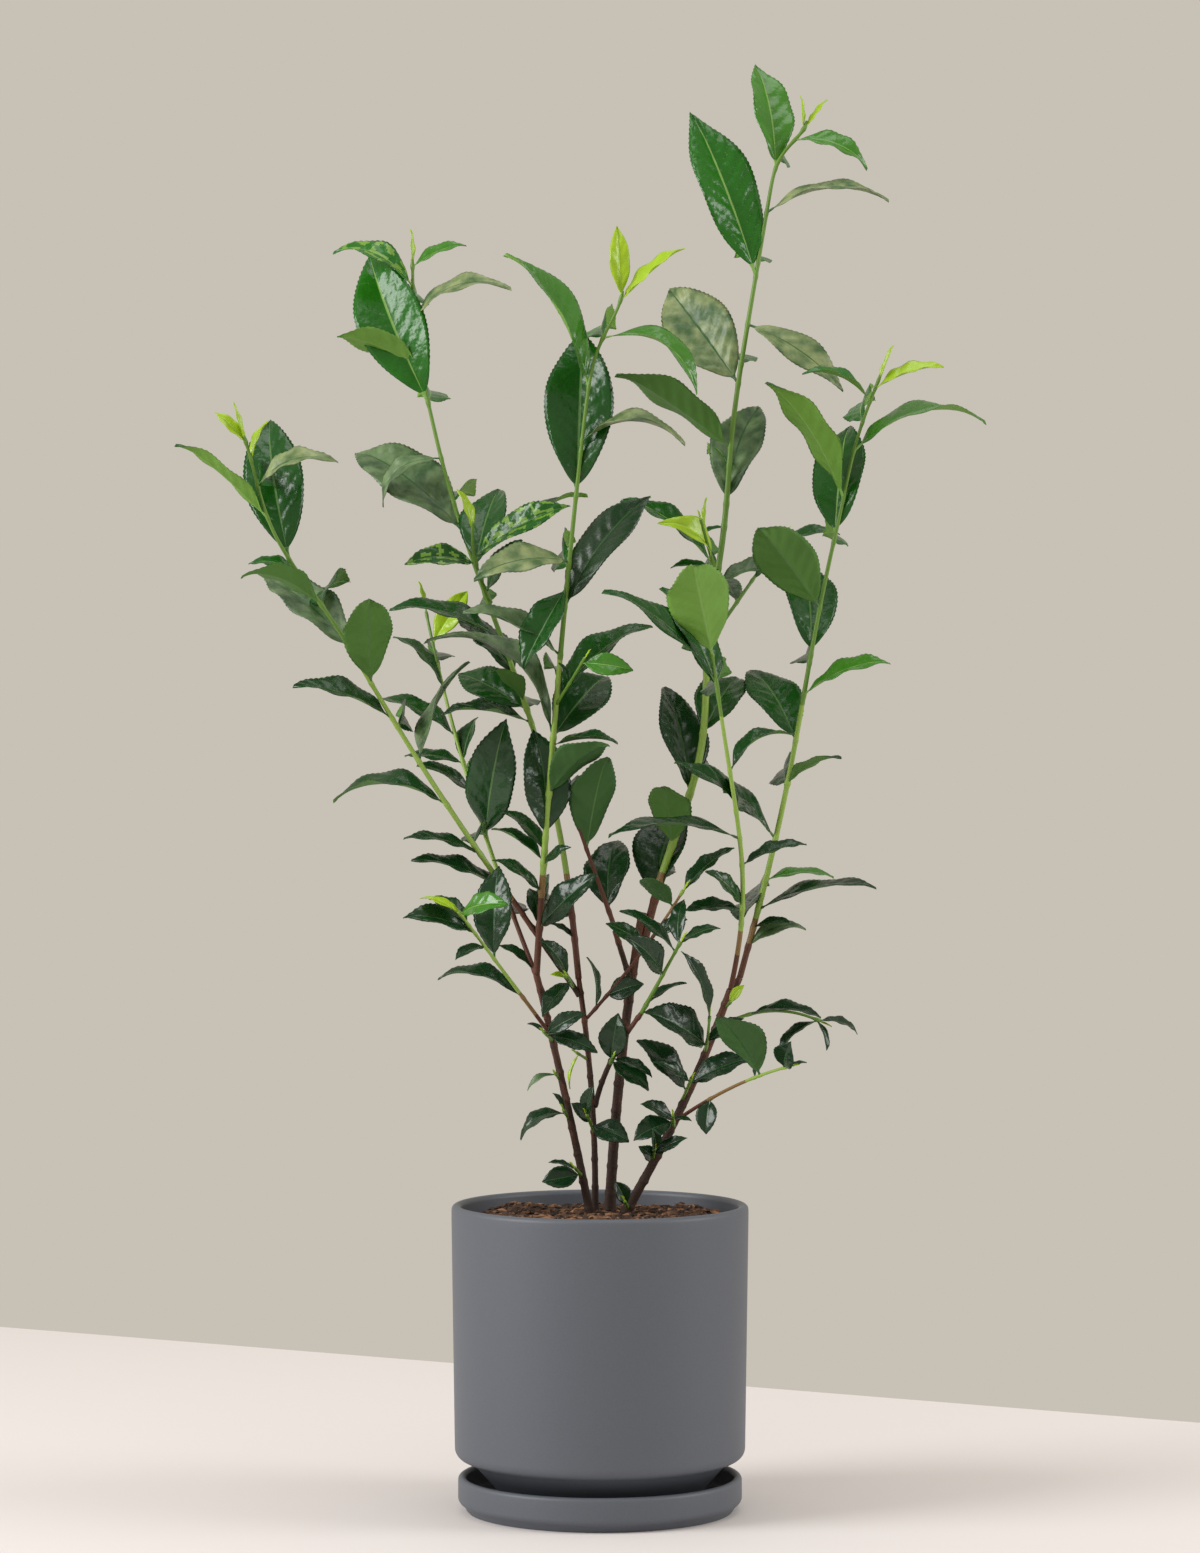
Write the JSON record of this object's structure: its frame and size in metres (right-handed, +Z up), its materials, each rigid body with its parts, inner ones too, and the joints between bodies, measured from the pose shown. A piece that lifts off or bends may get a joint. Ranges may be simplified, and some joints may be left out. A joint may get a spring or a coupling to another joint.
{
  "type": "potted tea bush",
  "caption": "Young tea bush with upright woody canes and glossy leafy shoots, in a plain round ceramic pot on its saucer.",
  "frame": {"origin": "centre of the saucer's flat underside, on the surface the pot stands on", "axes": "+Z up along the pot's axis, -Y towards the front, +X to the right as seen from the front"},
  "size_m": [0.4856, 0.2651, 0.8927],
  "materials": {
    "ceramic": "matte",
    "soil": "matte",
    "bark": "matte",
    "foliage": "satin"
  },
  "bodies": {
    "root": {"saucer": "ceramic", "pot": "ceramic", "soil": "soil", "cane_left": "bark", "cane_thin": "bark", "cane_middle": "bark", "cane_right": "bark", "bough_left": "bark", "bough_centre": "bark", "bough_right": "bark", "bough_front": "bark", "foliage_left_outer": "foliage", "foliage_left_inner": "foliage", "foliage_left_tall": "foliage", "foliage_left_spur": "foliage", "foliage_centre": "foliage", "foliage_centre_low": "foliage", "foliage_right_tall": "foliage", "foliage_right_spur_front": "foliage", "foliage_right_spur_back": "foliage", "foliage_right_inner": "foliage", "foliage_right_outer": "foliage", "sprig_left": "foliage", "sprig_right_front": "foliage", "sprig_right_back": "foliage", "sprig_front": "foliage", "sprig_centre": "foliage", "sprig_cane_right_low": "foliage", "sprig_cane_right_middle": "foliage", "sprig_cane_right_high": "foliage", "sprig_cane_left_low": "foliage", "sprig_cane_left_high": "foliage", "sprig_cane_thin": "foliage", "sprig_centre_high": "foliage", "sprig_cane_right_fork": "foliage", "sprig_cane_left_middle": "foliage", "sprig_bough_left": "foliage", "sprig_foot": "foliage", "sprig_bough_front": "foliage", "sprig_cane_right_top": "foliage", "sprig_cane_left_upper": "foliage", "sprig_cane_thin_high": "foliage"}
  },
  "joints": []
}
